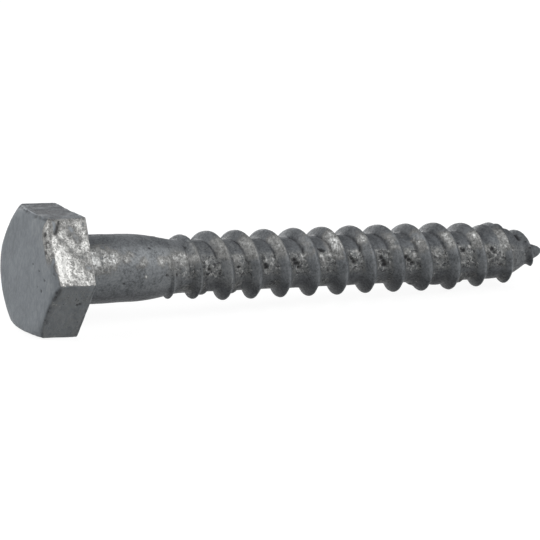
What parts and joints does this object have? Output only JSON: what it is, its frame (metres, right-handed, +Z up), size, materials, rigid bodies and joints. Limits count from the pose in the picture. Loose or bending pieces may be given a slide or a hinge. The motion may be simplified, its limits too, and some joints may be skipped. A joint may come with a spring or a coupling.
{
  "type": "lag screw",
  "caption": "Galvanised hex-head lag screw with a short plain shank, a coarse right-hand wood thread and a gimlet point.",
  "frame": {"origin": "centre of the head's bearing face, on the screw's axis, as the screw lies at rest", "axes": "+X level, from the head towards the point; +Z up; the screw's own axis dips 3.26 degrees below +X towards the point, because it lies on its head's edge and a crest"},
  "size_m": [0.0653, 0.0152, 0.0135],
  "materials": {
    "galvanised_steel": "dull hot-dip zinc, mottled and lumpy, bright on one face of the head"
  },
  "bodies": {
    "root": {"lag_screw": "galvanised_steel"}
  },
  "joints": []
}
